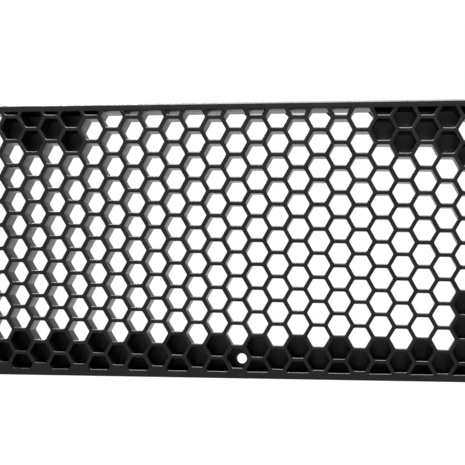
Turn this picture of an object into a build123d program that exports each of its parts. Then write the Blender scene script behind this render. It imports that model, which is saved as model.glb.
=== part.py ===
from build123d import *
import math
import os

# Front grille: a honeycomb panel with a plain face round it, a rear frame round the cells, and
# plates behind the cells that are closed. The plates' screws go into the rear frame, so the
# panel is held between its own face and the plates. Millimetres. +X runs along the panel,
# -Y is the front, +Z is up. The origin is the centre of the lower fixing hole, on the back
# of its boss.
# The cells run straight back along +Y, and the face leans over them, top forward.

# Driving dimensions: outline
PANEL_LEFT = -198.75
PANEL_RIGHT = 171.25
PANEL_BOTTOM = -13.9
PANEL_TOP = 180.6
UPPER_CORNER_RADIUS = 15.5
LOWER_CORNER_RADIUS = 9.0
FACE_LEAN = 0.248            # how far the face comes forward for each millimetre of height

# Driving dimensions: honeycomb panel
CELL_PITCH = 17.0            # across the flats, rib centre to rib centre
RIB_FRONT = 2.9
RIB_BACK = 1.0
CELL_DEPTH = 20.5
PATTERN_TURN = 0.68          # degrees clockwise against the frame, seen from the front
PATTERN_X = -1.25            # the middle of the cell that holds the fixing hole
PATTERN_Z = 1.1
SMALLEST_OPENING = 0.04      # share of a cell that the border must leave for it to be open
BORDER_TOP = 4.4
BORDER_BOTTOM = 5.1
BORDER_SIDE = 4.8
FACE_THICKNESS = 2.5
FACE_ROUNDING = 0.9

# Driving dimensions: rear frame
WALL = 2.4
FIT_GAP = 0.15               # between the frame and the panel's cells, all round

# Driving dimensions: closing plates, their screws and screw bosses
PLATE_THICKNESS = 2.0
PLATE_EDGE_GAP = 0.2         # between two plates that meet
SEAM_OVERLAP = 0.02          # joins the hexagons of one plate into one outline
BOSS_WIDTH = 7.0
BOSS_REACH = 4.4             # from the outline in, so that the border hides every boss
BOSS_DEPTH = 12.0
SCREW_INSET = 2.6            # from the outline to the screw's axis
SCREW_PAD_RADIUS = 3.2
SCREW_PAD_RISE = 0.9
SHANK_RADIUS = 1.1
SHANK_LENGTH = 9.0
HEAD_RADIUS = 2.5
HEAD_HEIGHT = 1.6
RECESS_LENGTH = 2.8
RECESS_WIDTH = 0.6
RECESS_DEPTH = 0.8
PILOT_RADIUS = 1.15
CLEARANCE_RADIUS = 1.5

# Driving dimensions: fixing hole, locating pins and clip blades
FIXING_HOLE_RADIUS = 3.75
FIXING_BOSS_RADIUS = 6.0
FIXING_BOSS_DEPTH = 3.5
PIN_RADIUS = 3.0
PIN_LENGTH = 9.0
PIN_CHAMFER = 1.0
COLLAR_RADIUS = 4.2          # the level collar that a pin stands on
COLLAR_RISE = 2.0
BLADE_WIDTH = 12.0
BLADE_THICKNESS = 3.0
BLADE_LENGTH = 14.0
BLADE_ROOT = 1.2             # how far a blade starts inside its plate

# Driving dimensions: spring clips, foam pads and the top seal
CLIP_SHEET = 0.8
CLIP_WIDTH = 10.0
CLIP_GAP = 0.1
CROWN_GAP = 0.6
CLIP_LEG = 9.0
CLIP_SHOULDER = 2.2
CLIP_FOOT = 1.6
PAD_LENGTH = 28.0
PAD_HEIGHT = 17.0
PAD_THICKNESS = 3.0
SEAL_THICKNESS = 2.5
SEAL_WIDTH = 5.5
SEAL_END_GAP = 20.0

# Values that follow from them
COLUMN_PITCH = CELL_PITCH * math.sqrt(3) / 2
FACE_Y = -CELL_DEPTH - PLATE_THICKNESS
CENTRE_X = (PANEL_LEFT + PANEL_RIGHT) / 2
CENTRE_Z = (PANEL_BOTTOM + PANEL_TOP) / 2
WIDTH = PANEL_RIGHT - PANEL_LEFT
HEIGHT = PANEL_TOP - PANEL_BOTTOM
FAR = 60.0                   # beyond every face, for cutting blocks
PLATE_BACK = CELL_DEPTH + PLATE_THICKNESS

# Cells with a wall behind them, as (column, row); column 0 holds the fixing hole
COLUMNS = range(-14, 14)
TOP_ROW = 10
UPPER_LEFT_CELLS = [(i, j) for i in range(-11, -7) for j in range(9, 12)] + [(-7, 10)]
UPPER_RIGHT_CELLS = [(i, j) for i in range(7, 11) for j in range(9, 12)] + [(11, 8), (11, 10)]
LOWER_CELLS = [(i, j) for i in COLUMNS for j in (-2, -1, 0)]
RIGHT_END_CELLS = [(i, j) for i in (11, 12, 13) for j in (1, 2)]
LEFT_END_CELLS = [(i, j) for i in (-14, -13) for j in (1, 2)]

# Screw axes and what stands behind the plates, as (x, z)
UPPER_LEFT_SCREWS = [(-158.0, PANEL_TOP - SCREW_INSET), (-118.0, PANEL_TOP - SCREW_INSET)]
UPPER_RIGHT_SCREWS = [(104.0, PANEL_TOP - SCREW_INSET), (144.0, PANEL_TOP - SCREW_INSET)]
LOWER_SCREWS = [(x, PANEL_BOTTOM + SCREW_INSET) for x in (-170.0, -90.0, -30.0, 55.0, 145.0)]
RIGHT_END_SCREWS = [(PANEL_RIGHT - SCREW_INSET, z) for z in (24.1, 41.1)]
LEFT_END_SCREWS = [(PANEL_LEFT + SCREW_INSET, z) for z in (28.1, 45.1)]
BLADES = {
    "upper_left": (-139.0, 165.0),
    "upper_right": (125.5, 162.5),
    "lower_left": (-117.0, 1.5),
    "lower_right": (117.0, -1.5),
}
RIGHT_PIN = (160.75, 32.1)
LEFT_PIN = (-192.45, 37.4)


def face_y(z, behind=0.0):
    """The y of the leaning face at height z, or of a plane that lies behind it."""
    return FACE_Y + behind - FACE_LEAN * z


def upright(y):
    """A drawing plane across the row, whose x and y are the row's X and Z."""
    return Plane(origin=(0, y, 0), x_dir=(1, 0, 0), z_dir=(0, -1, 0))


def prism(sketch, y_front=-FAR - HEIGHT * FACE_LEAN, y_back=FAR):
    """A sketch pushed along Y, between two upright planes."""
    return extrude(upright(y_back) * sketch, amount=y_back - y_front)


def slab(front, back):
    """Everything between two leaning planes, given by how far they lie behind the face."""
    low = PANEL_BOTTOM - FAR
    high = PANEL_TOP + FAR
    side = Plane(origin=(PANEL_LEFT - FAR, 0, 0), x_dir=(0, 1, 0), z_dir=(1, 0, 0))
    corners = [
        (face_y(low, front), low),
        (face_y(low, back), low),
        (face_y(high, back), high),
        (face_y(high, front), high),
    ]
    outline = make_face(Polyline(*corners, close=True))
    return extrude(side * outline, amount=WIDTH + 2 * FAR)


def leaning(sketch, front, back):
    """A sketch pushed along Y between two leaning planes."""
    return prism(sketch) & slab(front, back)


def rounded_box(side, bottom, top):
    """The panel's rectangle drawn in by so much on each edge, with its corners rounded."""
    low = PANEL_BOTTOM + bottom
    high = PANEL_TOP - top
    shape = Pos(CENTRE_X, (low + high) / 2) * Rectangle(WIDTH - 2 * side, high - low)
    upper = shape.vertices().sort_by(Axis.Y)[-2:]
    shape = fillet(upper, UPPER_CORNER_RADIUS - side)
    lower = shape.vertices().sort_by(Axis.Y)[:2]
    return fillet(lower, LOWER_CORNER_RADIUS - side)


def outline(inset):
    """The panel's outline, drawn in by an inset."""
    return rounded_box(inset, inset, inset)


def window():
    """The opening inside the face's plain border."""
    return rounded_box(BORDER_SIDE, BORDER_BOTTOM, BORDER_TOP)


def cell_centre(column, row):
    """Where a cell's axis crosses the row's XZ plane."""
    x = column * COLUMN_PITCH
    z = row * CELL_PITCH + (column % 2) * CELL_PITCH / 2
    turn = math.radians(PATTERN_TURN)
    across = x * math.cos(turn) + z * math.sin(turn)
    up = z * math.cos(turn) - x * math.sin(turn)
    return (PATTERN_X + across, PATTERN_Z + up)


def cell_outline(column, row, across_flats):
    """One flat-topped hexagon of the pattern."""
    x, z = cell_centre(column, row)
    hexagon = RegularPolygon(across_flats / 2, 6, major_radius=False)
    return Pos(x, z) * Rot(0, 0, -PATTERN_TURN) * hexagon


def cell_core(column, row):
    """The space inside one cell, which widens towards the back."""
    x, z = cell_centre(column, row)
    beyond = 4.0
    widening = (RIB_FRONT - RIB_BACK) / CELL_DEPTH
    front_size = CELL_PITCH - RIB_FRONT - beyond * widening
    back_size = CELL_PITCH - RIB_BACK + beyond * widening
    front = upright(face_y(z, -beyond)) * cell_outline(column, row, front_size)
    back = upright(face_y(z, CELL_DEPTH + beyond)) * cell_outline(column, row, back_size)
    return loft([front.face(), back.face()], ruled=True)


def open_cores():
    """Every cell that the border leaves at least partly open, trimmed to the window."""
    opening = window()
    opening_block = prism(opening)
    whole = cell_outline(0, 0, CELL_PITCH - RIB_FRONT).area
    cores = []
    for column in COLUMNS:
        for row in range(-(column % 2), TOP_ROW + 1):
            seen = opening & cell_outline(column, row, CELL_PITCH - RIB_FRONT)
            if not seen or seen.area / whole < SMALLEST_OPENING:
                continue
            core = cell_core(column, row)
            cores.append(core & opening_block if near_window(column, row) else core)
    return cores


def near_window(column, row):
    """True when the cell's wide back end may cross the window's edge."""
    x, z = cell_centre(column, row)
    reach = BORDER_BOTTOM + CELL_PITCH
    beside = x < PANEL_LEFT + reach or x > PANEL_RIGHT - reach
    above = z < PANEL_BOTTOM + reach or z > PANEL_TOP - reach
    return beside or above


def boss_outline(x, z, gap=0.0):
    """The block of frame that takes one screw, from the outline in to behind the border."""
    on_side = z > PANEL_BOTTOM + BOSS_REACH and z < PANEL_TOP - BOSS_REACH
    depth = BOSS_REACH + gap
    if on_side:
        edge = PANEL_RIGHT - depth / 2 if x > CENTRE_X else PANEL_LEFT + depth / 2
        return Pos(edge, z) * Rectangle(depth, BOSS_WIDTH + 2 * gap)
    edge = PANEL_TOP - depth / 2 if z > CENTRE_Z else PANEL_BOTTOM + depth / 2
    return Pos(x, edge) * Rectangle(BOSS_WIDTH + 2 * gap, depth)


def all_screws():
    """The axes of every screw in the grille."""
    upper = UPPER_LEFT_SCREWS + UPPER_RIGHT_SCREWS
    return upper + LOWER_SCREWS + RIGHT_END_SCREWS + LEFT_END_SCREWS


def drill(x, z, radius, y_front, y_back):
    """A round bar along Y, for a hole or a pin."""
    return prism(Pos(x, z) * Circle(radius), y_front, y_back)


def honeycomb_panel():
    """The face and the cells in one, notched behind the face round the screw bosses."""
    face = leaning(outline(0), 0, FACE_THICKNESS)
    front = face.faces().sort_by(Axis((0, 0, 0), (0, -1, -FACE_LEAN)))[-1]
    face = fillet(front.edges(), FACE_ROUNDING)
    panel = face + leaning(outline(WALL + FIT_GAP), FACE_THICKNESS, CELL_DEPTH)
    for x, z in all_screws():
        notch_front = CELL_DEPTH - BOSS_DEPTH - FIT_GAP
        panel -= leaning(boss_outline(x, z, FIT_GAP), notch_front, CELL_DEPTH + 1)
    return panel - open_cores()


def rear_frame():
    """The wall round the cells, from the face to the back, with a boss for each screw."""
    frame = leaning(outline(0) - outline(WALL), FACE_THICKNESS, CELL_DEPTH)
    for x, z in all_screws():
        frame += leaning(boss_outline(x, z), CELL_DEPTH - BOSS_DEPTH, CELL_DEPTH)
    for x, z in all_screws():
        frame -= drill(x, z, PILOT_RADIUS, face_y(z, CELL_DEPTH - SHANK_LENGTH), FAR)
    return frame


def plate_outline(cells, beside):
    """The cells that one plate covers, out to the middle of the ribs and to the frame."""
    shape = Sketch() + [cell_outline(i, j, CELL_PITCH + SEAM_OVERLAP) for i, j in cells]
    for i, j in beside:
        shape -= cell_outline(i, j, CELL_PITCH + 2 * PLATE_EDGE_GAP)
    return shape & outline(0)


def closing_plate(cells, screws, beside=()):
    """A flat plate behind its cells, with a level pad under each screw's head."""
    plate = leaning(plate_outline(cells, beside), CELL_DEPTH, PLATE_BACK)
    panel = prism(outline(0))
    for x, z in screws:
        top = face_y(z, PLATE_BACK) + SCREW_PAD_RISE
        pad = drill(x, z, SCREW_PAD_RADIUS, face_y(z, CELL_DEPTH), top)
        plate += pad & panel & slab(CELL_DEPTH, FAR)
    for x, z in screws:
        plate -= drill(x, z, CLEARANCE_RADIUS, face_y(z, 0), FAR)
    return plate


def clip_blade(x, z):
    """The moulded blade that a spring clip is pushed over."""
    shape = Pos(x, z) * RectangleRounded(BLADE_WIDTH, BLADE_THICKNESS, 0.6)
    back = face_y(z, PLATE_BACK)
    return prism(shape, back - BLADE_ROOT, back + BLADE_LENGTH)


def locating_pin(x, z):
    """A round pin on a level collar that points back, with a lead-in at its tip."""
    seat = face_y(z, PLATE_BACK) + COLLAR_RISE
    collar = drill(x, z, COLLAR_RADIUS, face_y(z, CELL_DEPTH), seat) & slab(CELL_DEPTH, FAR)
    pin = drill(x, z, PIN_RADIUS, seat, seat + PIN_LENGTH)
    return collar + chamfer(pin.faces().sort_by(Axis.Y)[-1].edges(), PIN_CHAMFER)


def upper_plate(cells, screws, blade):
    """A plate that closes one upper group of cells and carries a clip blade."""
    return closing_plate(cells, screws) + clip_blade(*BLADES[blade])


def lower_closing_rail():
    """The long plate behind the lowest cells, with two blades and the fixing hole."""
    rail = closing_plate(LOWER_CELLS, LOWER_SCREWS)
    rail += clip_blade(*BLADES["lower_left"])
    rail += clip_blade(*BLADES["lower_right"])
    rail += drill(0, 0, FIXING_BOSS_RADIUS, -FIXING_BOSS_DEPTH, 0)
    rail -= drill(0, 0, FIXING_BOSS_RADIUS, 0, FAR)
    return rail - drill(0, 0, FIXING_HOLE_RADIUS, -FAR, FAR)


def end_plate(cells, screws, pin):
    """A small plate that closes the end cells and carries a locating pin."""
    rail_cells = [(i, j) for i, j in LOWER_CELLS if j == 0]
    return closing_plate(cells, screws, rail_cells) + locating_pin(*pin)


def screw(x, z):
    """A thread-forming screw with a pan head and a cross recess, seated on its pad."""
    seat = face_y(z, PLATE_BACK) + SCREW_PAD_RISE
    shank = drill(x, z, SHANK_RADIUS, seat - SHANK_LENGTH, seat)
    head = drill(x, z, HEAD_RADIUS, seat, seat + HEAD_HEIGHT)
    head = fillet(head.faces().sort_by(Axis.Y)[-1].edges(), HEAD_HEIGHT / 2)
    bar = Rectangle(RECESS_LENGTH, RECESS_WIDTH) + Rectangle(RECESS_WIDTH, RECESS_LENGTH)
    floor = seat + HEAD_HEIGHT - RECESS_DEPTH
    return shank + head - prism(Pos(x, z) * bar, floor, seat + FAR)


def screw_group(screws):
    """The screws of one plate, each a solid of its own."""
    return Compound(children=[screw(x, z) for x, z in screws])


def spring_clip(x, z):
    """A bent strip of spring steel over a blade, with a shoulder and a foot on each leg."""
    tip = face_y(z, PLATE_BACK) + BLADE_LENGTH
    inner = BLADE_THICKNESS / 2 + CLIP_GAP
    middle = inner + CLIP_SHEET / 2
    crown = tip + CROWN_GAP + CLIP_SHEET / 2
    leg_end = crown - CLIP_LEG
    knee = crown - CLIP_LEG * 0.55
    upper = [
        (crown - 0.6, middle),
        (knee, middle + CLIP_SHOULDER),
        (leg_end, middle + 0.3),
        (leg_end - 0.6, middle + CLIP_FOOT),
    ]
    lower = [(y, -offset_z) for y, offset_z in upper]
    path = lower[::-1] + [(crown, -middle + 0.6), (crown, middle - 0.6)] + upper
    outside = strip_side(path, CLIP_SHEET / 2)
    inside = strip_side(path, -CLIP_SHEET / 2)
    face = make_face(Polyline(*outside, *inside[::-1], close=True))
    side = Plane(origin=(x - CLIP_WIDTH / 2, 0, z), x_dir=(0, 1, 0), z_dir=(1, 0, 0))
    return extrude(side * face, amount=CLIP_WIDTH)


def strip_side(path, distance):
    """A bent line moved sideways, with its corners mitred."""
    moved = []
    for k, point in enumerate(path):
        before = path[max(k - 1, 0)]
        after = path[min(k + 1, len(path) - 1)]
        directions = []
        for a, b in ((before, point), (point, after)):
            run = math.dist(a, b)
            if run > 0:
                directions.append(((b[0] - a[0]) / run, (b[1] - a[1]) / run))
        first = directions[0]
        last = directions[-1]
        normal = (-first[1] - last[1], first[0] + last[0])
        scale = 2 * distance / (normal[0] ** 2 + normal[1] ** 2)
        moved.append((point[0] + normal[0] * scale, point[1] + normal[1] * scale))
    return moved


def foam_pad(x, z):
    """A foam pad against rattle, stuck to the plate's back round a blade."""
    hole = Rectangle(BLADE_WIDTH + 0.6, BLADE_THICKNESS + 0.6)
    shape = RectangleRounded(PAD_LENGTH, PAD_HEIGHT, 2.0) - hole
    pad = leaning(Pos(x, z) * shape, PLATE_BACK, PLATE_BACK + PAD_THICKNESS)
    return pad & prism(outline(SCREW_INSET + HEAD_RADIUS + 0.8))


def top_seal_strip():
    """A foam strip on top of the frame's wall, towards the back."""
    left = PANEL_LEFT + SEAL_END_GAP
    right = PANEL_RIGHT - SEAL_END_GAP
    middle = ((left + right) / 2, PANEL_TOP + SEAL_THICKNESS / 2)
    shape = Pos(*middle) * Rectangle(right - left, SEAL_THICKNESS)
    back = CELL_DEPTH - 0.5
    return leaning(shape, back - SEAL_WIDTH, back)


def build():
    """Every piece of the grille, by node name."""
    pieces = {
        "honeycomb_panel": honeycomb_panel(),
        "rear_frame": rear_frame(),
        "upper_left_closing_plate": upper_plate(UPPER_LEFT_CELLS, UPPER_LEFT_SCREWS, "upper_left"),
        "upper_right_closing_plate": upper_plate(UPPER_RIGHT_CELLS, UPPER_RIGHT_SCREWS, "upper_right"),
        "lower_closing_rail": lower_closing_rail(),
        "right_end_plate": end_plate(RIGHT_END_CELLS, RIGHT_END_SCREWS, RIGHT_PIN),
        "left_end_plate": end_plate(LEFT_END_CELLS, LEFT_END_SCREWS, LEFT_PIN),
        "upper_left_plate_screws": screw_group(UPPER_LEFT_SCREWS),
        "upper_right_plate_screws": screw_group(UPPER_RIGHT_SCREWS),
        "lower_rail_screws": screw_group(LOWER_SCREWS),
        "right_end_plate_screws": screw_group(RIGHT_END_SCREWS),
        "left_end_plate_screws": screw_group(LEFT_END_SCREWS),
        "top_seal_strip": top_seal_strip(),
    }
    for name, place in BLADES.items():
        pieces[name + "_spring_clip"] = spring_clip(*place)
        pieces[name + "_foam_pad"] = foam_pad(*place)
    return pieces


os.makedirs("parts", exist_ok=True)
for node, shape in build().items():
    export_step(shape, "parts/" + node + ".step")
    print(node, round(shape.volume, 1))
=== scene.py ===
import math

import bmesh
import bpy
import numpy as np
from mathutils import Matrix, Vector

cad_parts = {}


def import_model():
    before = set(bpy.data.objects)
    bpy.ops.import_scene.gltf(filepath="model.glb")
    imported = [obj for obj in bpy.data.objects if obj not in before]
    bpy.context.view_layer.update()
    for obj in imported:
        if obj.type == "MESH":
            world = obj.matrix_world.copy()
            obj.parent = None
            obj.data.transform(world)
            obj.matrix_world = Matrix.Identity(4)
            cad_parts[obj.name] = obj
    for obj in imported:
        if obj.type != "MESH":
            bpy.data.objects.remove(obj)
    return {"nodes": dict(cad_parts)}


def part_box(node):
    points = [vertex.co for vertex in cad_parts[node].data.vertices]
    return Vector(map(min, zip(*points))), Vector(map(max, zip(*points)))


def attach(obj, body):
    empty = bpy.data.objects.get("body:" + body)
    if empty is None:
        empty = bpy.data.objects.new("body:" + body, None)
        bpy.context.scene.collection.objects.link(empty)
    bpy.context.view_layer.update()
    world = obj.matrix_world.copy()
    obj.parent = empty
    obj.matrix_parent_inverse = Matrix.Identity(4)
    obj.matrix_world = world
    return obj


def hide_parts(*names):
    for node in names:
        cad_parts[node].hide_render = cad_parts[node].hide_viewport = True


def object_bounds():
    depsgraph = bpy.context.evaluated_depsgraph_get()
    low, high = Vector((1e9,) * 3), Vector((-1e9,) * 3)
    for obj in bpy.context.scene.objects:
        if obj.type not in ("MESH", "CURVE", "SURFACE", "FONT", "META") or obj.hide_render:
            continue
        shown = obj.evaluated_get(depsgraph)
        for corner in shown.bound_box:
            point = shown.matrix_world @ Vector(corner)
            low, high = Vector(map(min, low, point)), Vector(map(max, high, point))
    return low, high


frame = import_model()
CAD_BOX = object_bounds()
NODES = frame["nodes"]

MM = 0.001

SCREW_NODES = (
    "upper_left_plate_screws", "upper_right_plate_screws", "lower_rail_screws",
    "right_end_plate_screws", "left_end_plate_screws",
)
PLATE_NODES = (
    "upper_left_closing_plate", "upper_right_closing_plate", "lower_closing_rail",
    "right_end_plate", "left_end_plate",
)
CLIP_CORNERS = ("upper_left", "upper_right", "lower_left", "lower_right")

# The design's own numbers, the same as the CAD model's, with lengths in metres
CELL_PITCH = 17.0 * MM
RIB_FRONT = 2.9 * MM
RIB_BACK = 1.0 * MM
CELL_DEPTH = 20.5 * MM
PLATE_THICKNESS = 2.0 * MM
PLATE_BACK = CELL_DEPTH + PLATE_THICKNESS
FACE_LEAN = 0.248
FACE_Y = -PLATE_BACK
PATTERN_TURN = math.radians(0.68)
PATTERN_X = -1.25 * MM
PATTERN_Z = 1.1 * MM
UPPER_CORNER_RADIUS = 15.5 * MM
LOWER_CORNER_RADIUS = 9.0 * MM
BORDER_TOP = 4.4 * MM
BORDER_BOTTOM = 5.1 * MM
BORDER_SIDE = 4.8 * MM
FACE_THICKNESS = 2.5 * MM
WALL = 2.4 * MM
FIT_GAP = 0.15 * MM
SMALLEST_OPENING = 0.04
TOP_ROW = 10
BOSS_WIDTH = 7.0 * MM
BOSS_REACH = 4.4 * MM
BOSS_DEPTH = 12.0 * MM
PILOT_RADIUS = 1.15 * MM
SHANK_RADIUS = 1.1 * MM
SHANK_LENGTH = 9.0 * MM
HEAD_RADIUS = 2.5 * MM
HEAD_HEIGHT = 1.6 * MM
RECESS_LENGTH = 2.8 * MM
RECESS_DEPTH = 0.8 * MM
SCREW_PAD_RISE = 0.9 * MM
BLADE_WIDTH = 12.0 * MM
BLADE_THICKNESS = 3.0 * MM
BLADE_CLEARANCE = 0.3 * MM
CLIP_SHEET = 0.8 * MM
CLIP_GAP = 0.1 * MM
PAD_THICKNESS = 3.0 * MM
PAD_CORNER = 2.0 * MM
SEAL_FRONT = 6.0 * MM
SEAL_BACK = 0.5 * MM

# Where the outline lies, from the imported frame
_low, _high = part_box("honeycomb_panel")
LEFT = _low.x
RIGHT = _high.x
BOTTOM = _low.z
TOP = _high.z

# Shapes of the visual pieces alone: roundings, the clips' bends, the foam's edges and the threads
EDGE_ROUNDING = 1.2 * MM
MOUTH_ROUNDING = 0.8 * MM
BACK_ROUNDING = 0.2 * MM
CELL_CORNER = 0.9 * MM
LIP_ROUNDING = 0.2 * MM
WALL_ROUNDING = 0.25 * MM
BOSS_CORNER = 0.6 * MM
CLIP_SHOULDER = 2.1 * MM
CLIP_KNEE = 0.55
CLIP_TOE = 0.3 * MM
CLIP_FOOT = 1.35 * MM
CLIP_FOOT_RUN = 0.45 * MM
CLIP_CROWN = 0.6 * MM
CLIP_FOOT_RISE = 0.7 * MM
CLIP_BEND = 1.2 * MM
CLIP_ROLL = 0.18 * MM
PAD_ROUNDING = 0.8 * MM
SLOT_CORNER = 0.5 * MM
SEAL_CROWN = 0.45
SEAL_TIP = ((0.0, 0.55), (0.4 * MM, 0.85), (1.2 * MM, 1.0))
THREAD_LEAD = 0.9 * MM
THREAD_DEPTH = 0.24
THREAD_TAPER = 1.5 * MM
RECESS_ARM = 0.32 * MM
HEAD_OVERLAP = 0.3 * MM

# How far cutting bodies run past what they cut, and how far inside the outline the bosses start
OVERSHOOT = 1.0 * MM
NOTCH_INSET = 0.5 * MM
BOSS_INSET = 0.6 * MM
CLEAR = 0.02 * MM

# How finely the pieces are drawn
MOUTH_STEPS = 4
EDGE_STEPS = 8
CORNER_FAN = (-7.0, -3.5, 0.0, 3.5, 7.0)
CLOSEST_RAYS = math.radians(0.8)
REACH_HALVINGS = 28
OUTLINE_CORNER_STEPS = 24
WINDOW_CORNER_STEPS = 6
SMALL_CORNER_STEPS = 8
HOLE_SIDES = 32
SHANK_SIDES = 20
ROWS_PER_TURN = 6
HEAD_SIDES = 40
BEND_STEPS = 6
SEAL_SPANS = 40
SEAL_ARC_STEPS = 16
SMOOTH_ANGLE = math.radians(32)
LATTICE_COLUMNS = range(-15, 15)
LATTICE_ROWS = range(-3, 14)

# The camera: where it stands, where it looks, in degrees, and how wide it sees
CAMERA_AT = (0.09206, -0.81153, 0.03791)
CAMERA_YAW = 7.049
CAMERA_PITCH = 3.942
CAMERA_ROLL = -0.519
CAMERA_FIELD = 24.167

# The studio: the sky's strength as light, the floor, and the two soft lamps
LEFT_LIGHT = 0.25
RIGHT_LIGHT = 0.02
BACK_LIGHT = 0.6
FLOOR_RADIUS = 12.0
FLOOR_SIDES = 96
FLOOR_GAP = 0.2 * MM
FLOOR_GLOW = 0.97
OVERHEAD = {"at": (-0.02, -0.38, 0.55), "toward": (0, -0.02, 0.08), "size": 0.6, "power": 60.0}
REAR = {"at": (-0.7, 1.0, 0.9), "toward": (0, 0, 0.08), "size": 0.8, "power": 70.0}


def face_y(z, behind=0.0):
    """The y of the leaning face at height z, or of a plane behind it."""
    return FACE_Y + behind - FACE_LEAN * z


def new_piece(name, verts, faces, slot=None):
    """A mesh object; one passed a slot name rides on the grille's one body."""
    mesh = bpy.data.meshes.new(name)
    mesh.from_pydata([tuple(v) for v in verts], [], faces)
    mesh.validate()
    tidy = bmesh.new()
    tidy.from_mesh(mesh)
    bmesh.ops.recalc_face_normals(tidy, faces=tidy.faces)
    tidy.to_mesh(mesh)
    tidy.free()
    piece = bpy.data.objects.new(name, mesh)
    bpy.context.scene.collection.objects.link(piece)
    if slot:
        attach(piece, "root")
    return piece


def apply_modifiers(piece):
    """Turns a piece's modifiers into its mesh."""
    graph = bpy.context.evaluated_depsgraph_get()
    mesh = bpy.data.meshes.new_from_object(piece.evaluated_get(graph))
    piece.modifiers.clear()
    old = piece.data
    piece.data = mesh
    bpy.data.meshes.remove(old)


def combine(piece, other, operation):
    """Cuts, joins or intersects piece with other, and drops other."""
    modifier = piece.modifiers.new("combine", "BOOLEAN")
    modifier.operation = operation
    modifier.solver = "MANIFOLD"
    modifier.object = other
    apply_modifiers(piece)
    spare = other.data
    bpy.data.objects.remove(other)
    bpy.data.meshes.remove(spare)


def shade(piece):
    """Smooth shading, with creases kept where faces meet at a clear angle."""
    piece.data.shade_smooth()
    piece.data.set_sharp_from_angle(angle=SMOOTH_ANGLE)


# ---------------------------------------------------------------- outlines and skins


def rounded_rectangle(left, right, bottom, top, upper, lower, steps):
    """Points round a rectangle with their outward directions, as (x, z, nx, nz)."""
    path = []
    corners = [(right, top, 0), (left, top, 90), (left, bottom, 180), (right, bottom, 270)]
    for corner_x, corner_z, start in corners:
        radius = upper if corner_z == top else lower
        cx = corner_x - radius * (1 if corner_x == right else -1)
        cz = corner_z - radius * (1 if corner_z == top else -1)
        for k in range(steps + 1):
            angle = math.radians(start + 90 * k / steps)
            nx, nz = math.cos(angle), math.sin(angle)
            path.append((cx + radius * nx, cz + radius * nz, nx, nz))
    return path


def ring_at(path, inset, depth):
    """A path drawn in by an inset, on a plane at a depth behind the face."""
    points = []
    for x, z, nx, nz in path:
        px, pz = x - nx * inset, z - nz * inset
        points.append(Vector((px, face_y(pz, depth), pz)))
    return points


def skin(rings, capped):
    """Vertices and faces of a tube through equal rings, with end caps or closed on itself."""
    count = len(rings[0])
    verts = [v for ring in rings for v in ring]
    faces = []
    pairs = len(rings) - 1 if capped else len(rings)
    for r in range(pairs):
        a = r * count
        b = ((r + 1) % len(rings)) * count
        for k in range(count):
            n = (k + 1) % count
            faces.append((a + k, a + n, b + n, b + k))
    if capped:
        faces.append(tuple(reversed(range(count))))
        faces.append(tuple(range(len(verts) - count, len(verts))))
    return verts, faces


def merged(parts):
    """Several (verts, faces) pairs as one."""
    verts, faces = [], []
    for part_verts, part_faces in parts:
        start = len(verts)
        verts += part_verts
        faces += [tuple(start + k for k in face) for face in part_faces]
    return verts, faces


def rounding(radius, steps):
    """A quarter round as (distance across, distance along), from the face to the side."""
    arc = []
    for k in range(steps + 1):
        angle = math.radians(90 * k / steps)
        arc.append((radius * (1 - math.sin(angle)), radius * (1 - math.cos(angle))))
    return arc


OUTLINE = rounded_rectangle(
    LEFT, RIGHT, BOTTOM, TOP, UPPER_CORNER_RADIUS, LOWER_CORNER_RADIUS, OUTLINE_CORNER_STEPS
)


# ---------------------------------------------------------------- the cells


def cell_centre(column, row):
    """Where a cell's axis crosses the XZ plane."""
    x = column * CELL_PITCH * math.sqrt(3) / 2
    z = row * CELL_PITCH + (column % 2) * CELL_PITCH / 2
    cos, sin = math.cos(PATTERN_TURN), math.sin(PATTERN_TURN)
    return PATTERN_X + x * cos + z * sin, PATTERN_Z + z * cos - x * sin


def rib_corners(column, row):
    """The six corners of a cell at the middle of its ribs."""
    cx, cz = cell_centre(column, row)
    reach = CELL_PITCH / math.sqrt(3)
    angles = [math.radians(60 * k) - PATTERN_TURN for k in range(6)]
    return [(cx + reach * math.cos(a), cz + reach * math.sin(a)) for a in angles]


def window_sides():
    """The border's inner edge as half planes (nx, nz, reach)."""
    left, right = LEFT + BORDER_SIDE, RIGHT - BORDER_SIDE
    bottom, top = BOTTOM + BORDER_BOTTOM, TOP - BORDER_TOP
    upper, lower = UPPER_CORNER_RADIUS - BORDER_SIDE, LOWER_CORNER_RADIUS - BORDER_SIDE
    path = rounded_rectangle(left, right, bottom, top, upper, lower, WINDOW_CORNER_STEPS)
    return [(nx, nz, x * nx + z * nz) for x, z, nx, nz in path]


WINDOW = window_sides()


def cell_sides(column, row):
    """The cell's own six sides as half planes, at the middle of the ribs."""
    cx, cz = cell_centre(column, row)
    sides = []
    for k in range(6):
        angle = math.radians(30 + 60 * k) - PATTERN_TURN
        nx, nz = math.cos(angle), math.sin(angle)
        sides.append((nx, nz, cx * nx + cz * nz + CELL_PITCH / 2))
    return sides


def clipped(corners, sides):
    """A convex outline cut by half planes."""
    for nx, nz, reach in sides:
        kept = []
        for (ax, az), (bx, bz) in zip(corners, corners[1:] + corners[:1]):
            a, b = ax * nx + az * nz - reach, bx * nx + bz * nz - reach
            if a <= 0:
                kept.append((ax, az))
            if a * b < 0:
                t = a / (a - b)
                kept.append((ax + (bx - ax) * t, az + (bz - az) * t))
        corners = kept
    return corners


def area_and_centre(corners):
    """The area of an outline and the point it balances on."""
    area = mx = mz = 0.0
    for (ax, az), (bx, bz) in zip(corners, corners[1:] + corners[:1]):
        cross = (ax * bz - bx * az) / 2
        area += cross
        mx += cross * (ax + bx) / 3
        mz += cross * (az + bz) / 3
    return (area, (mx / area, mz / area)) if area else (0.0, corners[0])


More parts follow.
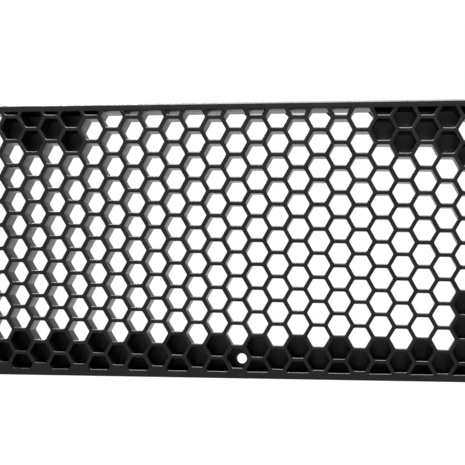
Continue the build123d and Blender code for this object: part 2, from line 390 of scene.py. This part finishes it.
def mouth(column, row):
    """A cell's opening at the face as far as the border leaves it, or None."""
    sides = [(nx, nz, reach - RIB_FRONT / 2) for nx, nz, reach in cell_sides(column, row)]
    whole = clipped(rib_corners(column, row), sides)
    seen = clipped(whole, WINDOW)
    if len(seen) < 3 or area_and_centre(seen)[0] < SMALLEST_OPENING * area_and_centre(whole)[0]:
        return None
    return seen


def core_profile():
    """How a cell opens, as (depth, flare of every side, half the rib's width)."""
    profile = []
    for flare, depth in rounding(MOUTH_ROUNDING, MOUTH_STEPS):
        profile.append((depth, flare, RIB_FRONT / 2))
    profile.append((CELL_DEPTH * 0.5, 0.0, (RIB_FRONT + RIB_BACK) / 4))
    profile.append((CELL_DEPTH - BACK_ROUNDING, 0.0, RIB_BACK / 2))
    profile.append((CELL_DEPTH, BACK_ROUNDING * 0.8, RIB_BACK / 2))
    return profile


def ray_angles(corners, centre):
    """Directions from the centre: a fan at each corner, and one between corners."""
    to_corners = sorted(math.atan2(z - centre[1], x - centre[0]) for x, z in corners)
    angles = []
    for angle, following in zip(to_corners, to_corners[1:] + [to_corners[0] + 2 * math.pi]):
        angles += [angle + math.radians(a) for a in CORNER_FAN]
        angles.append((angle + following) / 2)
    angles = sorted(a % (2 * math.pi) for a in angles)
    apart = [angles[0]]
    for angle in angles[1:]:
        if angle - apart[-1] > CLOSEST_RAYS:
            apart.append(angle)
    return apart


def ring_reach(sides, flare, centre, angles):
    """How far each ray runs to the rounded outline inside half planes."""
    nx, nz, reach = (np.array(column) for column in zip(*sides))
    gap = reach + flare - (nx * centre[0] + nz * centre[1])
    along = np.outer(np.cos(angles), nx) + np.outer(np.sin(angles), nz)
    near, far = np.zeros(len(angles)), np.full(len(angles), 2 * CELL_PITCH)
    corner = min(CELL_CORNER, 0.7 * float(gap.min()))
    for _ in range(REACH_HALVINGS):
        middle = (near + far) / 2
        past = (along * middle[:, None] - gap + corner) / corner
        outside = (np.clip(past, 0, None) ** 3).sum(axis=1) > 1
        far = np.where(outside, middle, far)
        near = np.where(outside, near, middle)
    return near


def core_rings(column, row, seen):
    """The rings of one open cell, from the face to the back, and the point they go round."""
    centre = area_and_centre(seen)[1]
    angles = ray_angles(seen, centre)
    own = cell_sides(column, row)
    rings = []
    for depth, flare, half in core_profile():
        sides = [(nx, nz, reach - half) for nx, nz, reach in own] + WINDOW
        points = []
        for angle, reach in zip(angles, ring_reach(sides, flare, centre, angles)):
            x, z = centre[0] + reach * math.cos(angle), centre[1] + reach * math.sin(angle)
            points.append(Vector((x, face_y(z, depth), z)))
        rings.append(points)
    return rings, centre


def zip_faces(inner, outer, verts, centre):
    """Triangles between two loops that go round the same centre."""
    def turn(index):
        return math.atan2(verts[index].z - centre[1], verts[index].x - centre[0]) % (2 * math.pi)

    inner = sorted(inner, key=turn)
    outer = sorted(outer, key=turn)
    events = [(turn(i), 0, k) for k, i in enumerate(inner)]
    events = sorted(events + [(turn(i), 1, k) for k, i in enumerate(outer)])
    at = [len(inner) - 1, len(outer) - 1]
    faces = []
    for _, side, k in events:
        if side == 0:
            faces.append((inner[at[0]], inner[k], outer[at[1]]))
        else:
            faces.append((inner[at[0]], outer[k], outer[at[1]]))
        at[side] = k
    return faces


def lattice():
    """The pattern well past the outline: open cells as rounded tubes, the others solid."""
    verts, faces = [], []
    shared, uses = {}, {}

    def corner_pair(x, z):
        key = (round(x / CLEAR), round(z / CLEAR))
        near = [(key[0] + a, key[1] + b) for a in (-1, 0, 1) for b in (-1, 0, 1)]
        found = next((k for k in near if k in shared), None)
        if found is None:
            shared[key] = len(verts)
            verts.extend(Vector((x, face_y(z, depth), z)) for depth in (0.0, CELL_DEPTH))
            found = key
        return shared[found]

    for column in LATTICE_COLUMNS:
        for row in LATTICE_ROWS:
            corners = [corner_pair(x, z) for x, z in rib_corners(column, row)]
            for a, b in zip(corners, corners[1:] + corners[:1]):
                uses[frozenset((a, b))] = uses.get(frozenset((a, b)), 0) + 1
            seen = mouth(column, row) if -(column % 2) <= row <= TOP_ROW else None
            if not seen:
                faces.append(tuple(corners))
                faces.append(tuple(c + 1 for c in reversed(corners)))
                continue
            rings, centre = core_rings(column, row, seen)
            start, count = len(verts), len(rings[0])
            tube_verts, tube_faces = skin(rings, True)
            verts += tube_verts
            faces += [tuple(start + k for k in face) for face in tube_faces[:-2]]
            last = start + (len(rings) - 1) * count
            back_corners = [c + 1 for c in corners]
            faces += zip_faces(range(start, start + count), corners, verts, centre)
            faces += zip_faces(range(last, last + count), back_corners, verts, centre)
    for edge, times in uses.items():
        if times == 1:
            a, b = sorted(edge)
            faces.append((a, b, b + 1, a + 1))
    return new_piece("honeycomb", verts, faces, "honeycomb_plastic")


# ---------------------------------------------------------------- panel and rear frame


def panel_body():
    """The panel's outer shape: the rounded face, and the block of cells behind it."""
    start = EDGE_ROUNDING * 1.4
    section = [(start, -OVERSHOOT), (start, -CLEAR)]
    section += rounding(EDGE_ROUNDING, EDGE_STEPS)[1:]
    section += [(0.0, FACE_THICKNESS - LIP_ROUNDING), (LIP_ROUNDING, FACE_THICKNESS)]
    section += [(WALL + FIT_GAP, FACE_THICKNESS), (WALL + FIT_GAP, CELL_DEPTH + OVERSHOOT)]
    verts, faces = skin([ring_at(OUTLINE, inset, depth) for inset, depth in section], True)
    return new_piece("body", verts, faces)


def middle_of(points, axis):
    """Half way between the least and the greatest coordinate along an axis."""
    along = [p[axis] for p in points]
    return (min(along) + max(along)) / 2


def screws_in(node):
    """The axes of one node's screws, as (x, z), from gaps between its vertices."""
    points = [v.co for v in NODES[node].data.vertices]
    across = max(p.x for p in points) - min(p.x for p in points)
    pick = 0 if across > 3 * HEAD_RADIUS else 2
    order = sorted(points, key=lambda p: p[pick])
    groups = [[order[0]]]
    for p in order[1:]:
        if p[pick] - groups[-1][-1][pick] > HEAD_RADIUS * 2:
            groups.append([])
        groups[-1].append(p)
    return [(middle_of(g, 0), middle_of(g, 2)) for g in groups]


def boss_block(x, z, gap, front, back, inset):
    """The block of one screw boss, from an inset off the outline, between two leaning planes."""
    half = BOSS_WIDTH / 2 + gap
    reach = BOSS_REACH + gap
    if BOTTOM + BOSS_REACH < z < TOP - BOSS_REACH:
        edge = RIGHT if x > (LEFT + RIGHT) / 2 else LEFT
        inward = -1 if edge == RIGHT else 1
        x_range = sorted((edge + inward * inset, edge + inward * reach))
        z_range = (z - half, z + half)
    else:
        edge = TOP if z > (BOTTOM + TOP) / 2 else BOTTOM
        inward = -1 if edge == TOP else 1
        x_range = (x - half, x + half)
        z_range = sorted((edge + inward * inset, edge + inward * reach))
    corner = BOSS_CORNER - gap
    path = rounded_rectangle(*x_range, *z_range, corner, corner, 4)
    return skin([ring_at(path, 0.0, front), ring_at(path, 0.0, back)], True)


def circle(x, y, z, radius, sides):
    """Points round an axis along Y."""
    points = []
    for k in range(sides):
        angle = 2 * math.pi * k / sides
        points.append(Vector((x + radius * math.cos(angle), y, z + radius * math.sin(angle))))
    return points


def pilot_hole(x, z):
    """The bar that a screw's pilot hole takes out of its boss."""
    front = face_y(z, CELL_DEPTH - SHANK_LENGTH)
    back = face_y(z, CELL_DEPTH) + 3 * OVERSHOOT
    return skin([circle(x, y, z, PILOT_RADIUS, HOLE_SIDES) for y in (front, back)], True)


def honeycomb_panel(sites):
    """The panel: the cells cut to the outline, notched round the screw bosses."""
    piece = lattice()
    combine(piece, panel_body(), "INTERSECT")
    front = CELL_DEPTH - BOSS_DEPTH - FIT_GAP
    back = CELL_DEPTH + OVERSHOOT
    notches = merged([boss_block(x, z, FIT_GAP, front, back, NOTCH_INSET) for x, z in sites])
    combine(piece, new_piece("notches", *notches), "DIFFERENCE")
    shade(piece)
    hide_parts("honeycomb_panel")
    return piece


def rear_frame(sites):
    """The frame: a wall swept round the outline, with a drilled boss for each screw."""
    edge = WALL_ROUNDING
    section = [
        (edge, FACE_THICKNESS), (WALL - edge, FACE_THICKNESS), (WALL, FACE_THICKNESS + edge),
        (WALL, CELL_DEPTH - edge), (WALL - edge, CELL_DEPTH), (edge, CELL_DEPTH),
        (0.0, CELL_DEPTH - edge), (0.0, FACE_THICKNESS + edge),
    ]
    wall = skin([ring_at(OUTLINE, inset, depth) for inset, depth in section], False)
    piece = new_piece("rear_wall", *wall, "frame_plastic")
    front = CELL_DEPTH - BOSS_DEPTH
    back = CELL_DEPTH - CLEAR
    blocks = merged([boss_block(x, z, 0.0, front, back, BOSS_INSET) for x, z in sites])
    combine(piece, new_piece("bosses", *blocks), "UNION")
    holes = merged([pilot_hole(x, z) for x, z in sites])
    combine(piece, new_piece("holes", *holes), "DIFFERENCE")
    shade(piece)
    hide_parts("rear_frame")
    return piece


# ---------------------------------------------------------------- screws, clips and foam


def screw_shank(x, z, tip, seat):
    """A threaded shank with a tapered start, as rings round its axis."""
    rows = int((seat - tip) / THREAD_LEAD * ROWS_PER_TURN)
    rings = []
    for r in range(rows + 1):
        y = tip + (seat - tip) * r / rows
        taper = min(1.0, 0.45 + 0.55 * (y - tip) / THREAD_TAPER)
        ring = []
        for k in range(SHANK_SIDES):
            turn = k / SHANK_SIDES
            angle = 2 * math.pi * turn
            phase = ((y - tip) / THREAD_LEAD - turn) % 1.0
            crest = max(0.0, 1 - abs(phase - 0.5) * 3.2)
            radius = SHANK_RADIUS * (1 - THREAD_DEPTH + THREAD_DEPTH * crest) * taper
            ring.append(Vector((x + radius * math.cos(angle), y, z + radius * math.sin(angle))))
        rings.append(ring)
    return skin(rings, True)


def screw_head(x, z, seat):
    """A pan head with a rounded rim and a crowned top, as shares of its radius and height."""
    section = [
        (0.96, 0.0), (1.0, 0.06), (1.0, 0.42), (0.985, 0.56), (0.94, 0.7),
        (0.86, 0.82), (0.74, 0.91), (0.56, 0.97), (0.3, 0.995),
    ]
    rings = []
    for across, along in section:
        rings.append(circle(x, seat + HEAD_HEIGHT * along, z, HEAD_RADIUS * across, HEAD_SIDES))
    return skin(rings, True)


def cross_recess(x, z, top):
    """A tapered cross for the driver, from just above the head to the recess's depth."""
    half, arm = RECESS_LENGTH / 2, RECESS_ARM
    parts = []
    for turned in (False, True):
        rings = []
        for depth, scale in ((-0.2 * MM, 1.04), (RECESS_DEPTH, 0.62)):
            u, v = half * scale, arm * (1 if depth < 0 else 0.75)
            square = [(u, v), (-u, v), (-u, -v), (u, -v)]
            square = [(b, -a) for a, b in square] if turned else square
            rings.append([Vector((x + a, top - depth, z + b)) for a, b in square])
        parts.append(skin(rings, True))
    return parts


def screw_set(node, places):
    """All the screws of one plate, as one piece."""
    parts = []
    for x, z in places:
        seat = face_y(z, PLATE_BACK) + SCREW_PAD_RISE
        piece = new_piece("head", *screw_head(x, z, seat))
        for cutter in cross_recess(x, z, seat + HEAD_HEIGHT):
            combine(piece, new_piece("cutter", *cutter), "DIFFERENCE")
        shank = new_piece("shank", *screw_shank(x, z, seat - SHANK_LENGTH, seat + HEAD_OVERLAP))
        combine(piece, shank, "UNION")
        mesh = piece.data
        verts = [v.co.copy() for v in mesh.vertices]
        parts.append((verts, [tuple(p.vertices) for p in mesh.polygons]))
        bpy.data.objects.remove(piece)
        bpy.data.meshes.remove(mesh)
    whole = new_piece(node + "_threaded", *merged(parts), "screw_steel")
    shade(whole)
    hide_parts(node)
    return whole


def rounded_line(points, radius):
    """A bent line whose corners are smooth curves, as points."""
    line = [Vector(points[0])]
    for before, corner, after in zip(points, points[1:], points[2:]):
        before, corner, after = Vector(before), Vector(corner), Vector(after)
        into, out = (corner - before), (after - corner)
        trim = min(radius, into.length * 0.45, out.length * 0.45)
        start, end = corner - into.normalized() * trim, corner + out.normalized() * trim
        for s in range(BEND_STEPS + 1):
            t = s / BEND_STEPS
            line.append(start * (1 - t) ** 2 + corner * 2 * t * (1 - t) + end * t ** 2)
    line.append(Vector(points[-1]))
    return line


def spring_clip(name):
    """A bent strip of spring steel with rounded bends and rolled edges."""
    node = name + "_spring_clip"
    low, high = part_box(node)
    middle_z = (low.z + high.z) / 2
    crown, foot_y = high.y - CLIP_SHEET / 2, low.y
    inner = BLADE_THICKNESS / 2 + CLIP_GAP + CLIP_SHEET / 2
    leg = crown - (foot_y + CLIP_FOOT_RISE)
    upper = [
        (crown - CLIP_CROWN, inner),
        (crown - leg * CLIP_KNEE, inner + CLIP_SHOULDER),
        (crown - leg, inner + CLIP_TOE),
        (crown - leg - CLIP_FOOT_RUN, inner + CLIP_FOOT),
    ]
    lower = [(y, -offset) for y, offset in upper]
    path = lower[::-1] + [(crown, CLIP_CROWN - inner), (crown, inner - CLIP_CROWN)] + upper
    line = rounded_line(path, CLIP_BEND)
    half, width = CLIP_SHEET / 2, high.x - low.x
    roll = CLIP_ROLL
    section = [
        (0.0, half - roll), (roll, half), (width - roll, half), (width, half - roll),
        (width, roll - half), (width - roll, -half), (roll, -half), (0.0, roll - half),
    ]
    rings = []
    for k, point in enumerate(line):
        ahead = (line[min(k + 1, len(line) - 1)] - line[max(k - 1, 0)]).normalized()
        side = Vector((-ahead.y, ahead.x))
        ring = []
        for a, b in section:
            ring.append(Vector((low.x + a, point.x + side.x * b, middle_z + point.y + side.y * b)))
        rings.append(ring)
    piece = new_piece(name + "_bent_clip", *skin(rings, True), "spring_steel")
    shade(piece)
    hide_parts(node)
    return piece


def foam_pad(name):
    """A die-cut foam pad with soft edges and a slot for the blade."""
    node = name + "_foam_pad"
    low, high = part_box(node)
    clip_low, clip_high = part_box(name + "_spring_clip")
    cx, cz = (clip_low.x + clip_high.x) / 2, (clip_low.z + clip_high.z) / 2
    corner, steps = PAD_CORNER, SMALL_CORNER_STEPS
    outer = rounded_rectangle(low.x, high.x, low.z, high.z, corner, corner, steps)
    half_x = BLADE_WIDTH / 2 + BLADE_CLEARANCE
    half_z = BLADE_THICKNESS / 2 + BLADE_CLEARANCE
    edges = (cx - half_x, cx + half_x, cz - half_z, cz + half_z)
    slot = rounded_rectangle(*edges, SLOT_CORNER, SLOT_CORNER, steps)
    front, back = PLATE_BACK, PLATE_BACK + PAD_THICKNESS
    soft = rounding(PAD_ROUNDING, MOUTH_STEPS)
    rings = [ring_at(outer, 0.0, front)]
    rings += [ring_at(outer, inset, back - drop) for inset, drop in reversed(soft)]
    rings += [ring_at(slot, -inset * 0.5, back - drop * 0.5) for inset, drop in soft]
    rings.append(ring_at(slot, 0.0, front))
    piece = new_piece(name + "_soft_pad", *skin(rings, False), "foam")
    shade(piece)
    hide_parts(node)
    return piece


def seal_strip():
    """A foam strip with a rounded crown and rounded ends, along the top."""
    node = "top_seal_strip"
    low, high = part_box(node)
    middle = CELL_DEPTH - (SEAL_FRONT + SEAL_BACK) / 2
    half = (SEAL_FRONT - SEAL_BACK) / 2
    length = high.x - low.x
    stations = [(low.x + run, full) for run, full in SEAL_TIP]
    stations += [(low.x + length * k / SEAL_SPANS, 1.0) for k in range(1, SEAL_SPANS)]
    stations += [(high.x - run, full) for run, full in reversed(SEAL_TIP)]
    rings = []
    for x, full in stations:
        ring = []
        for k in range(SEAL_ARC_STEPS + 1):
            angle = math.radians(180 * k / SEAL_ARC_STEPS)
            across = math.copysign(abs(math.cos(angle)) ** SEAL_CROWN, math.cos(angle))
            z = low.z + (high.z - low.z) * full * math.sin(angle) ** SEAL_CROWN
            ring.append(Vector((x, face_y(z, middle - half * full * across), z)))
        rings.append(ring)
    piece = new_piece("top_seal", *skin(rings, True), "foam")
    shade(piece)
    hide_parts(node)
    return piece


# ---------------------------------------------------------------- materials


def node_of(tree, kind, **values):
    """Adds a node and sets its inputs by name."""
    node = tree.nodes.new(kind)
    for name, value in values.items():
        node.inputs[name.replace("_", " ")].default_value = value
    return node


def start_material(name):
    """A material with its node tree, its shader and object coordinates."""
    material = bpy.data.materials.new(name)
    material.use_nodes = True
    tree = material.node_tree
    place = tree.nodes.new("ShaderNodeTexCoord").outputs["Object"]
    return material, tree, tree.nodes["Principled BSDF"], place


def vary_colour(tree, shader, factor, dark, light, low=0.3, high=0.7):
    """Colour between two tones by a texture."""
    ramp = tree.nodes.new("ShaderNodeValToRGB")
    ramp.color_ramp.elements[0].position = low
    ramp.color_ramp.elements[1].position = high
    ramp.color_ramp.elements[0].color = (*dark, 1)
    ramp.color_ramp.elements[1].color = (*light, 1)
    tree.links.new(factor, ramp.inputs["Fac"])
    tree.links.new(ramp.outputs["Color"], shader.inputs["Base Color"])


def vary_roughness(tree, shader, factor, low, high):
    """Roughness between two values by a texture."""
    span = node_of(tree, "ShaderNodeMapRange", From_Min=0.3, From_Max=0.7, To_Min=low, To_Max=high)
    tree.links.new(factor, span.inputs["Value"])
    tree.links.new(span.outputs["Result"], shader.inputs["Roughness"])


def relief(tree, shader, heights):
    """Chained bumps, each (texture output, height in metres, strength)."""
    normal = None
    for height, distance, strength in heights:
        bump = node_of(tree, "ShaderNodeBump", Strength=strength, Distance=distance)
        tree.links.new(height, bump.inputs["Height"])
        if normal:
            tree.links.new(normal, bump.inputs["Normal"])
        normal = bump.outputs["Normal"]
    tree.links.new(normal, shader.inputs["Normal"])


def moulded_plastic(name, dark, light, rough, gloss, grain_size, grain_height):
    """Satin black plastic: eroded mould grain, faint flow marks and uneven gloss."""
    material, tree, shader, place = start_material(name)
    cloud = node_of(tree, "ShaderNodeTexNoise", Scale=45.0, Detail=5.0, Roughness=0.6)
    grain = node_of(tree, "ShaderNodeTexVoronoi", Scale=1.0 / grain_size)
    grit = node_of(tree, "ShaderNodeTexNoise", Scale=1.7 / grain_size, Detail=3.0)
    for texture in (cloud, grain, grit):
        tree.links.new(place, texture.inputs["Vector"])
    vary_colour(tree, shader, cloud.outputs["Fac"], dark, light)
    vary_roughness(tree, shader, cloud.outputs["Fac"], rough - 0.04, rough + 0.06)
    shader.inputs["Specular IOR Level"].default_value = gloss
    relief(tree, shader, [
        (grain.outputs["Distance"], grain_height, 0.3),
        (grit.outputs["Fac"], grain_height, 0.3),
    ])
    return material


def steel(name, dark, light, rough):
    """Plated steel: metal with drawn lines along X, cloudy plating and small pits."""
    material, tree, shader, place = start_material(name)
    shader.inputs["Metallic"].default_value = 1.0
    stretch = tree.nodes.new("ShaderNodeMapping")
    stretch.inputs["Scale"].default_value = (0.06, 1.0, 1.0)
    tree.links.new(place, stretch.inputs["Vector"])
    drawn = node_of(tree, "ShaderNodeTexNoise", Scale=5000.0, Detail=2.0)
    tree.links.new(stretch.outputs["Vector"], drawn.inputs["Vector"])
    cloud = node_of(tree, "ShaderNodeTexNoise", Scale=400.0, Detail=6.0, Roughness=0.65)
    pits = node_of(tree, "ShaderNodeTexVoronoi", Scale=1600.0)
    for texture in (cloud, pits):
        tree.links.new(place, texture.inputs["Vector"])
    vary_colour(tree, shader, cloud.outputs["Fac"], dark, light)
    vary_roughness(tree, shader, cloud.outputs["Fac"], rough - 0.08, rough + 0.12)
    relief(tree, shader, [
        (drawn.outputs["Fac"], 0.012 * MM, 0.5),
        (pits.outputs["Distance"], 0.01 * MM, 0.3),
    ])
    return material


def foam_material(name):
    """Closed-cell foam: small cells with pores darkened as painted shade, and a dull skin."""
    material, tree, shader, place = start_material(name)
    cells = node_of(tree, "ShaderNodeTexVoronoi", Scale=1500.0)
    coarse = node_of(tree, "ShaderNodeTexNoise", Scale=500.0, Detail=5.0, Roughness=0.7)
    for texture in (cells, coarse):
        tree.links.new(place, texture.inputs["Vector"])
    # Both tones are darker than real foam, painted shade that keeps it from looking pale under the
    # overhead lamp; the pores are darker still, painted shade in their hollows.
    shaded_pore, wall = (0.0025, 0.0025, 0.0026), (0.011, 0.011, 0.0115)
    vary_colour(tree, shader, cells.outputs["Distance"], shaded_pore, wall, 0.1, 0.6)
    vary_roughness(tree, shader, coarse.outputs["Fac"], 0.86, 0.98)
    relief(tree, shader, [
        (cells.outputs["Distance"], 0.15 * MM, 0.7),
        (coarse.outputs["Fac"], 0.12 * MM, 0.5),
    ])
    return material


def assign(piece, material):
    """Gives a piece or a CAD node one material."""
    piece.data.materials.clear()
    piece.data.materials.append(material)


# ---------------------------------------------------------------- stage


def camera():
    """The camera, at the photograph's viewing angle."""
    data = bpy.data.cameras.new("camera")
    data.sensor_width = 36.0
    data.lens = data.sensor_width / 2 / math.tan(math.radians(CAMERA_FIELD / 2))
    data.clip_start = 0.01
    data.clip_end = 50.0
    eye = bpy.data.objects.new("camera", data)
    bpy.context.scene.collection.objects.link(eye)
    yaw = Matrix.Rotation(math.radians(CAMERA_YAW), 4, "Z")
    pitch = Matrix.Rotation(math.radians(90 + CAMERA_PITCH), 4, "X")
    roll = Matrix.Rotation(math.radians(-CAMERA_ROLL), 4, "Z")
    eye.matrix_world = Matrix.Translation(CAMERA_AT) @ yaw @ pitch @ roll
    bpy.context.scene.camera = eye


def world():
    """White where the camera sees it; as light, dim from the front and brighter from behind."""
    sky = bpy.data.worlds.new("studio")
    bpy.context.scene.world = sky
    sky.use_nodes = True
    tree = sky.node_tree
    tree.nodes.clear()
    out = tree.nodes.new("ShaderNodeOutputWorld")
    mix = tree.nodes.new("ShaderNodeMixShader")
    path = tree.nodes.new("ShaderNodeLightPath")
    plain = node_of(tree, "ShaderNodeBackground", Color=(1, 1, 1, 1), Strength=1.0)
    soft = tree.nodes.new("ShaderNodeBackground")
    place = tree.nodes.new("ShaderNodeTexCoord")
    split = tree.nodes.new("ShaderNodeSeparateXYZ")
    tree.links.new(place.outputs["Generated"], split.inputs["Vector"])
    side = node_of(tree, "ShaderNodeMapRange", From_Min=-0.5, From_Max=0.5)
    side.inputs["To Min"].default_value = LEFT_LIGHT
    side.inputs["To Max"].default_value = RIGHT_LIGHT
    depth = node_of(tree, "ShaderNodeMapRange", From_Min=-0.6, From_Max=0.3, To_Max=BACK_LIGHT)
    tree.links.new(split.outputs["X"], side.inputs["Value"])
    tree.links.new(side.outputs["Result"], depth.inputs["To Min"])
    tree.links.new(split.outputs["Y"], depth.inputs["Value"])
    tree.links.new(depth.outputs["Result"], soft.inputs["Strength"])
    tree.links.new(path.outputs["Is Camera Ray"], mix.inputs["Fac"])
    tree.links.new(soft.outputs["Background"], mix.inputs[1])
    tree.links.new(plain.outputs["Background"], mix.inputs[2])
    tree.links.new(mix.outputs["Shader"], out.inputs["Surface"])


def area_light(name, at, toward, size, power):
    """A soft square light."""
    data = bpy.data.lights.new(name, "AREA")
    data.size = size
    data.energy = power
    lamp = bpy.data.objects.new(name, data)
    bpy.context.scene.collection.objects.link(lamp)
    lamp.location = at
    lamp.rotation_euler = (Vector(toward) - Vector(at)).to_track_quat("-Z", "Y").to_euler()


def floor():
    """A plain floor under the grille. It glows white, because lamps alone leave it grey far off."""
    level = CAD_BOX[0].z - FLOOR_GAP
    turns = [2 * math.pi * k / FLOOR_SIDES for k in range(FLOOR_SIDES)]
    verts = [(FLOOR_RADIUS * math.cos(a), FLOOR_RADIUS * math.sin(a), level) for a in turns]
    piece = new_piece("floor", verts, [tuple(range(FLOOR_SIDES))])
    material, _, shader, _ = start_material("floor")
    shader.inputs["Base Color"].default_value = (0.01, 0.01, 0.01, 1)
    shader.inputs["Roughness"].default_value = 0.9
    shader.inputs["Specular IOR Level"].default_value = 0.1
    shader.inputs["Emission Color"].default_value = (1, 1, 1, 1)
    shader.inputs["Emission Strength"].default_value = FLOOR_GLOW
    assign(piece, material)


bpy.context.scene.view_settings.view_transform = "Standard"
camera()
world()
floor()
area_light("overhead", **OVERHEAD)
area_light("rear", **REAR)

# The plastics are darker than real ones, to hold the photograph's black under the strong lamps
# The panel, where the lamps fall strongest, is painted darkest; the frame and plates behind it are
# painted lighter, so they still show in the shade.
panel_black = moulded_plastic(
    "panel_black", dark=(0.0008, 0.0008, 0.00085), light=(0.002, 0.002, 0.0021),
    rough=0.27, gloss=0.17, grain_size=0.45 * MM, grain_height=0.012 * MM,
)
frame_black = moulded_plastic(
    "frame_black", dark=(0.003, 0.003, 0.0031), light=(0.006, 0.006, 0.0062),
    rough=0.34, gloss=0.3, grain_size=0.5 * MM, grain_height=0.02 * MM,
)
plate_black = moulded_plastic(
    "plate_black", dark=(0.0025, 0.0025, 0.0026), light=(0.006, 0.006, 0.0062),
    rough=0.42, gloss=0.3, grain_size=0.6 * MM, grain_height=0.03 * MM,
)
screw_steel = steel("screw_steel", (0.10, 0.10, 0.105), (0.2, 0.2, 0.21), 0.34)
clip_steel = steel("clip_steel", (0.25, 0.26, 0.265), (0.42, 0.43, 0.44), 0.3)
foam_black = foam_material("foam_black")

screw_places = {node: screws_in(node) for node in SCREW_NODES}
all_places = [place for places in screw_places.values() for place in places]
assign(honeycomb_panel(all_places), panel_black)
assign(rear_frame(all_places), frame_black)
for node, places in screw_places.items():
    assign(screw_set(node, places), screw_steel)
for corner_name in CLIP_CORNERS:
    assign(spring_clip(corner_name), clip_steel)
    assign(foam_pad(corner_name), foam_black)
assign(seal_strip(), foam_black)
for name in PLATE_NODES:
    assign(NODES[name], plate_black)

bpy.context.view_layer.update()
